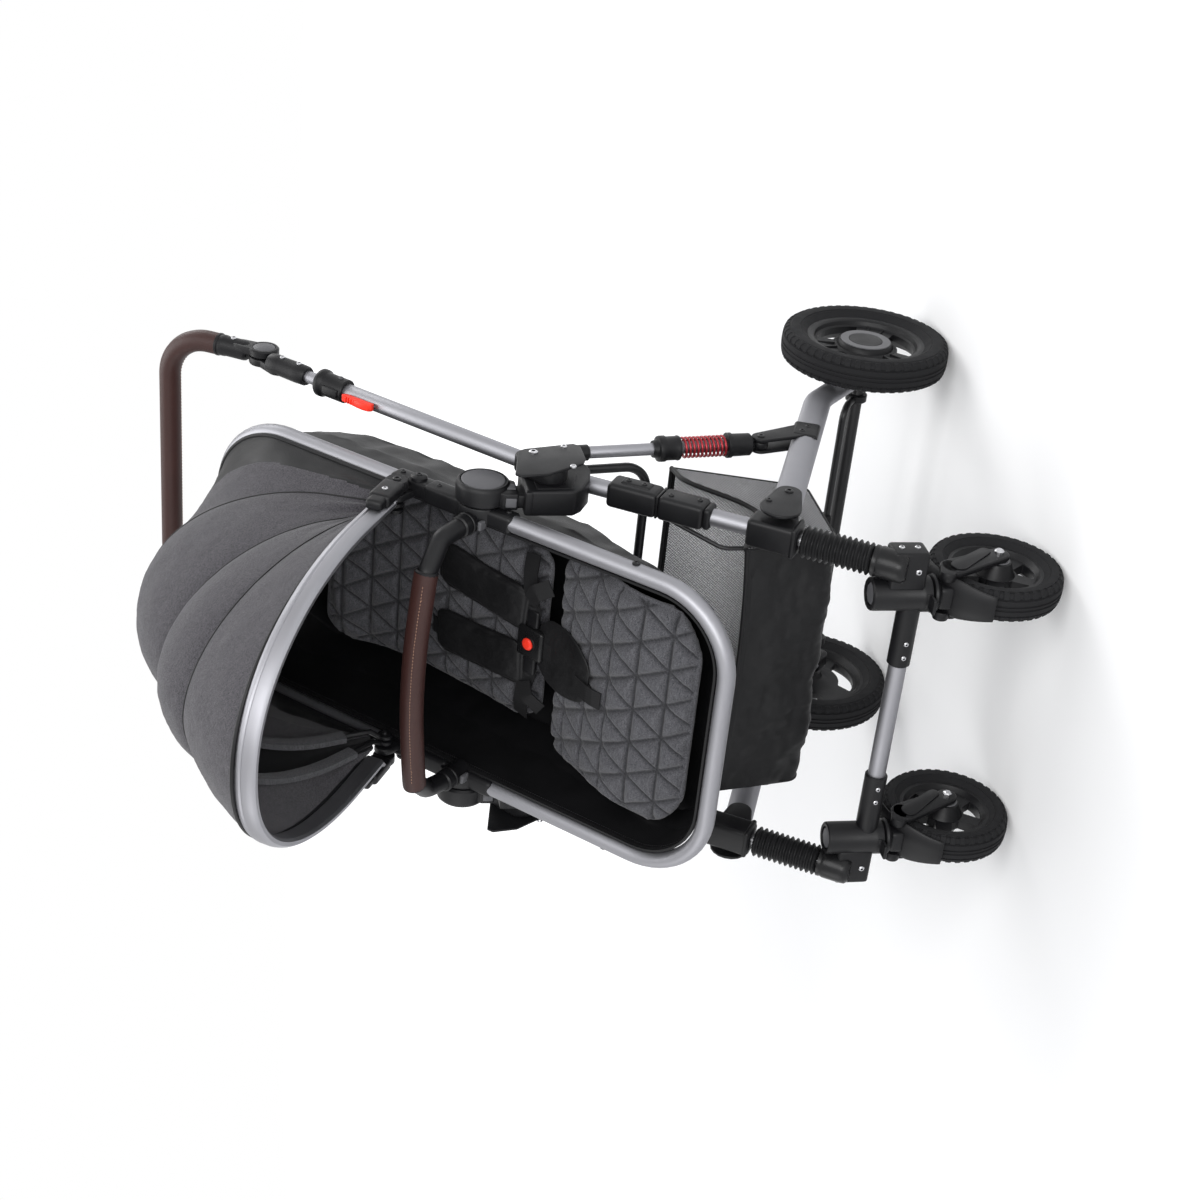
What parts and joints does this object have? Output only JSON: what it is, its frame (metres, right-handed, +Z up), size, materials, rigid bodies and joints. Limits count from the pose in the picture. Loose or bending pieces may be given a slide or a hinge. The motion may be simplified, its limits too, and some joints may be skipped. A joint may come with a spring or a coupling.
{
  "type": "convertible pram",
  "caption": "Folding pram with a padded reclining seat under a swelling hood, bumper bar, sprung chassis, swivelling front wheels, shopping basket and adjustable handle.",
  "frame": {"origin": "on the floor, midway across the pram and under the middle of its length", "axes": "+Z up, -Y the way the pram faces and rolls forward, +X its left side"},
  "size_m": [0.6086, 0.7793, 1.1402],
  "materials": {
    "leg_tube": "brushed aluminium tube with black moulded sleeve and clamp",
    "upper_bracket": "black moulded nylon",
    "rear_brace": "black powder coat",
    "basket": "black woven polyester",
    "gaiter": "black ribbed rubber",
    "caster_housing": "black moulded nylon",
    "front_crossbar": "brushed aluminium",
    "rail": "brushed oval aluminium tube with black bracket",
    "rear_axle": "black powder coat",
    "brake_bar": "black powder coat",
    "handle_tube": "brushed aluminium tube with black moulded parts",
    "handlebar": "dark brown leatherette",
    "handle_joint": "black moulded nylon",
    "seat_mount": "black moulded nylon",
    "seat_rim": "aluminium tube with black moulded housings",
    "seat_shell": "black cloth",
    "seat_pad": "dark grey melange cloth, padded",
    "canopy_cover": "dark grey melange cloth",
    "back_pad": "dark grey melange cloth, padded",
    "harness": "black webbing and pads",
    "buckle_button": "red plastic",
    "bumper_bar": "dark brown leatherette",
    "canopy_hoop": "silver aluminium band",
    "canopy_rib": "black coated wire",
    "caster_fork": "black moulded nylon",
    "front_hub": "black moulded wheel centre with grey ring",
    "front_tyre": "black foam rubber",
    "rear_hub": "black moulded wheel centre with grey ring",
    "rear_tyre": "black foam rubber",
    "swivel_lock": "black plastic",
    "shock_rod": "bright rod with black collar",
    "shock_spring": "dark red coil",
    "shock_sleeve": "black moulded sleeve",
    "release_collar": "black moulded nylon",
    "red_catch": "red plastic",
    "handle_button": "dark grey plastic",
    "tilt_button": "dark grey plastic"
  },
  "bodies": {
    "frame": {"leg_tube_L": "leg_tube", "leg_tube_R": "leg_tube", "upper_bracket_L": "upper_bracket", "upper_bracket_R": "upper_bracket", "rear_brace": "rear_brace", "basket": "basket", "gaiter_L": "gaiter", "gaiter_R": "gaiter"},
    "front_axle": {"caster_housing_L": "caster_housing", "caster_housing_R": "caster_housing", "front_crossbar": "front_crossbar"},
    "rear_frame": {"rail_L": "rail", "rail_R": "rail", "rear_axle": "rear_axle"},
    "brake": {"brake_bar": "brake_bar"},
    "handle": {"handle_tube_L": "handle_tube", "handle_tube_R": "handle_tube"},
    "handlebar": {"handlebar": "handlebar", "handle_joint_L": "handle_joint", "handle_joint_R": "handle_joint"},
    "seat_base": {"seat_mount_L": "seat_mount", "seat_mount_R": "seat_mount"},
    "seat": {"seat_rim": "seat_rim", "seat_shell": "seat_shell", "seat_pad": "seat_pad", "canopy_cover": "canopy_cover"},
    "backrest": {"back_pad": "back_pad", "harness": "harness"},
    "buckle_button": {"buckle_button": "buckle_button"},
    "bumper": {"bumper_bar": "bumper_bar"},
    "hood_hoop": {"canopy_hoop": "canopy_hoop"},
    "hood_rib_a": {"canopy_rib_a": "canopy_rib"},
    "hood_rib_b": {"canopy_rib_b": "canopy_rib"},
    "caster_L": {"caster_fork_L": "caster_fork"},
    "front_wheel_L": {"front_hub_L": "front_hub", "front_tyre_L": "front_tyre"},
    "rear_wheel_L": {"rear_hub_L": "rear_hub", "rear_tyre_L": "rear_tyre"},
    "swivel_lock_L": {"swivel_lock_L": "swivel_lock"},
    "strut_rod_L": {"shock_rod_L": "shock_rod", "shock_spring_L": "shock_spring"},
    "strut_sleeve_L": {"shock_sleeve_L": "shock_sleeve"},
    "release_collar_L": {"release_collar_L": "release_collar"},
    "catch_L": {"red_catch_L": "red_catch"},
    "handle_button_L": {"handle_button_L": "handle_button"},
    "tilt_button_L": {"tilt_button_L": "tilt_button"},
    "caster_R": {"caster_fork_R": "caster_fork"},
    "front_wheel_R": {"front_hub_R": "front_hub", "front_tyre_R": "front_tyre"},
    "rear_wheel_R": {"rear_hub_R": "rear_hub", "rear_tyre_R": "rear_tyre"},
    "swivel_lock_R": {"swivel_lock_R": "swivel_lock"},
    "strut_rod_R": {"shock_rod_R": "shock_rod", "shock_spring_R": "shock_spring"},
    "strut_sleeve_R": {"shock_sleeve_R": "shock_sleeve"},
    "release_collar_R": {"release_collar_R": "release_collar"},
    "catch_R": {"red_catch_R": "red_catch"},
    "handle_button_R": {"handle_button_R": "handle_button"},
    "tilt_button_R": {"tilt_button_R": "tilt_button"}
  },
  "joints": [
    {"name": "front_suspension", "type": "slide", "parent": "frame", "child": "front_axle", "axis": [0, 0.5373, 0.8434], "range_m": [0, 0.015], "stiffness_N_per_m": 6000, "springref_m": -0.03, "deforming": ["gaiter_L", "gaiter_R"]},
    {"name": "rear_suspension", "type": "hinge", "parent": "frame", "child": "rear_frame", "pos_m": [0, -0.1503, 0.34], "axis": [1, 0, 0], "range_deg": [0, 4], "stiffness_Nm_per_rad": 600, "springref_deg": -8.59},
    {"name": "caster_swivel_L", "type": "hinge", "parent": "front_axle", "child": "caster_L", "pos_m": [0.182, -0.2773, 0.187], "axis": [0, 0, 1], "continuous": true},
    {"name": "front_wheel_spin_L", "type": "hinge", "parent": "caster_L", "child": "front_wheel_L", "pos_m": [0.182, -0.2343, 0.0855], "axis": [1, 0, 0], "continuous": true},
    {"name": "rear_wheel_spin_L", "type": "hinge", "parent": "rear_frame", "child": "rear_wheel_L", "pos_m": [0.2808, 0.2697, 0.12], "axis": [1, 0, 0], "continuous": true},
    {"name": "swivel_lock_lift_L", "type": "hinge", "parent": "front_axle", "child": "swivel_lock_L", "pos_m": [0.182, -0.2963, 0.193], "axis": [-1, 0, 0], "range_deg": [0, 30]},
    {"name": "strut_swing_L", "type": "hinge", "parent": "frame", "child": "strut_rod_L", "pos_m": [0.2415, -0.0153, 0.6], "axis": [1, 0, 0], "range_deg": [0, 0.6]},
    {"name": "strut_travel_L", "type": "slide", "parent": "strut_rod_L", "child": "strut_sleeve_L", "axis": [0, -0.1404, 0.9901], "range_m": [0, 0.0125], "deforming": ["shock_spring_L"]},
    {"name": "caster_swivel_R", "type": "hinge", "parent": "front_axle", "child": "caster_R", "pos_m": [-0.182, -0.2773, 0.187], "axis": [0, 0, 1], "continuous": true},
    {"name": "front_wheel_spin_R", "type": "hinge", "parent": "caster_R", "child": "front_wheel_R", "pos_m": [-0.182, -0.2343, 0.0855], "axis": [1, 0, 0], "continuous": true},
    {"name": "rear_wheel_spin_R", "type": "hinge", "parent": "rear_frame", "child": "rear_wheel_R", "pos_m": [-0.2808, 0.2697, 0.12], "axis": [1, 0, 0], "continuous": true},
    {"name": "swivel_lock_lift_R", "type": "hinge", "parent": "front_axle", "child": "swivel_lock_R", "pos_m": [-0.182, -0.2963, 0.193], "axis": [-1, 0, 0], "range_deg": [0, 30]},
    {"name": "strut_swing_R", "type": "hinge", "parent": "frame", "child": "strut_rod_R", "pos_m": [-0.2415, -0.0153, 0.6], "axis": [1, 0, 0], "range_deg": [0, 0.6]},
    {"name": "strut_travel_R", "type": "slide", "parent": "strut_rod_R", "child": "strut_sleeve_R", "axis": [0, -0.1404, 0.9901], "range_m": [0, 0.0125], "deforming": ["shock_spring_R"]},
    {"name": "brake_press", "type": "hinge", "parent": "rear_frame", "child": "brake", "pos_m": [0, 0.2697, 0.12], "axis": [1, 0, 0], "range_deg": [0, 15]},
    {"name": "handle_fold", "type": "hinge", "parent": "frame", "child": "handle", "pos_m": [0, -0.0753, 0.64], "axis": [1, 0, 0], "range_deg": [0, 150]},
    {"name": "handle_height", "type": "hinge", "parent": "handle", "child": "handlebar", "pos_m": [0, 0.2717, 0.972], "axis": [1, 0, 0], "range_deg": [-60, 45]},
    {"name": "collar_slide_L", "type": "slide", "parent": "handle", "child": "release_collar_L", "axis": [0, 0.7046, 0.7096], "range_m": [0, 0.02], "stiffness_N_per_m": 60, "springref_m": -0.008},
    {"name": "catch_lift_L", "type": "hinge", "parent": "handle", "child": "catch_L", "pos_m": [0.2505, 0.1, 0.8408], "axis": [1, 0, 0], "range_deg": [0, 20], "stiffness_Nm_per_rad": 0.02, "springref_deg": -17.19},
    {"name": "handle_button_press_L", "type": "slide", "parent": "handlebar", "child": "handle_button_L", "axis": [-1, 0, 0], "range_m": [0, 0.0018], "stiffness_N_per_m": 500, "springref_m": -0.002},
    {"name": "collar_slide_R", "type": "slide", "parent": "handle", "child": "release_collar_R", "axis": [0, 0.7046, 0.7096], "range_m": [0, 0.02], "stiffness_N_per_m": 60, "springref_m": -0.008},
    {"name": "catch_lift_R", "type": "hinge", "parent": "handle", "child": "catch_R", "pos_m": [-0.2505, 0.1, 0.8408], "axis": [1, 0, 0], "range_deg": [0, 20], "stiffness_Nm_per_rad": 0.02, "springref_deg": -17.19},
    {"name": "handle_button_press_R", "type": "slide", "parent": "handlebar", "child": "handle_button_R", "axis": [1, 0, 0], "range_m": [0, 0.0018], "stiffness_N_per_m": 500, "springref_m": -0.002},
    {"name": "seat_lift", "type": "slide", "parent": "frame", "child": "seat_base", "axis": [0, 0, 1], "range_m": [0, 0.1]},
    {"name": "seat_tilt", "type": "hinge", "parent": "seat_base", "child": "seat", "pos_m": [0, -0.0823, 0.713], "axis": [-1, 0, 0], "range_deg": [0, 25]},
    {"name": "tilt_button_press_L", "type": "slide", "parent": "seat_base", "child": "tilt_button_L", "axis": [-1, 0, 0], "range_m": [0, 0.0018], "stiffness_N_per_m": 800, "springref_m": -0.002},
    {"name": "tilt_button_press_R", "type": "slide", "parent": "seat_base", "child": "tilt_button_R", "axis": [1, 0, 0], "range_m": [0, 0.0018], "stiffness_N_per_m": 800, "springref_m": -0.002},
    {"name": "backrest_raise", "type": "hinge", "parent": "seat", "child": "backrest", "pos_m": [0, -0.0853, 0.606], "axis": [1, 0, 0], "range_deg": [0, 25]},
    {"name": "buckle_press", "type": "slide", "parent": "backrest", "child": "buckle_button", "axis": [0, 0.6233, -0.782], "range_m": [0, 0.003], "stiffness_N_per_m": 300, "springref_m": -0.002},
    {"name": "bumper_pull", "type": "slide", "parent": "seat", "child": "bumper", "axis": [0, -0.7254, 0.6884], "range_m": [0, 0.03]},
    {"name": "hood_fold", "type": "hinge", "parent": "seat", "child": "hood_hoop", "pos_m": [0, -0.0353, 0.815], "axis": [-1, 0, 0], "range_deg": [0, 88], "deforming": ["canopy_cover"]},
    {"name": "hood_rib_b_fold", "type": "hinge", "parent": "seat", "child": "hood_rib_b", "pos_m": [0, -0.0353, 0.815], "axis": [-1, 0, 0], "range_deg": [0, 69]},
    {"name": "hood_rib_a_fold", "type": "hinge", "parent": "seat", "child": "hood_rib_a", "pos_m": [0, -0.0353, 0.815], "axis": [-1, 0, 0], "range_deg": [0, 49]}
  ],
  "couplings": [
    {"joint": "strut_swing_L", "follows": "rear_suspension", "ratio": 0.10143},
    {"joint": "strut_travel_L", "follows": "rear_suspension", "m_per_rad": 0.17106},
    {"joint": "strut_swing_R", "follows": "rear_suspension", "ratio": 0.10143},
    {"joint": "strut_travel_R", "follows": "rear_suspension", "m_per_rad": 0.17106},
    {"joint": "hood_rib_b_fold", "follows": "hood_fold", "ratio": 0.765},
    {"joint": "hood_rib_a_fold", "follows": "hood_fold", "ratio": 0.541}
  ]
}
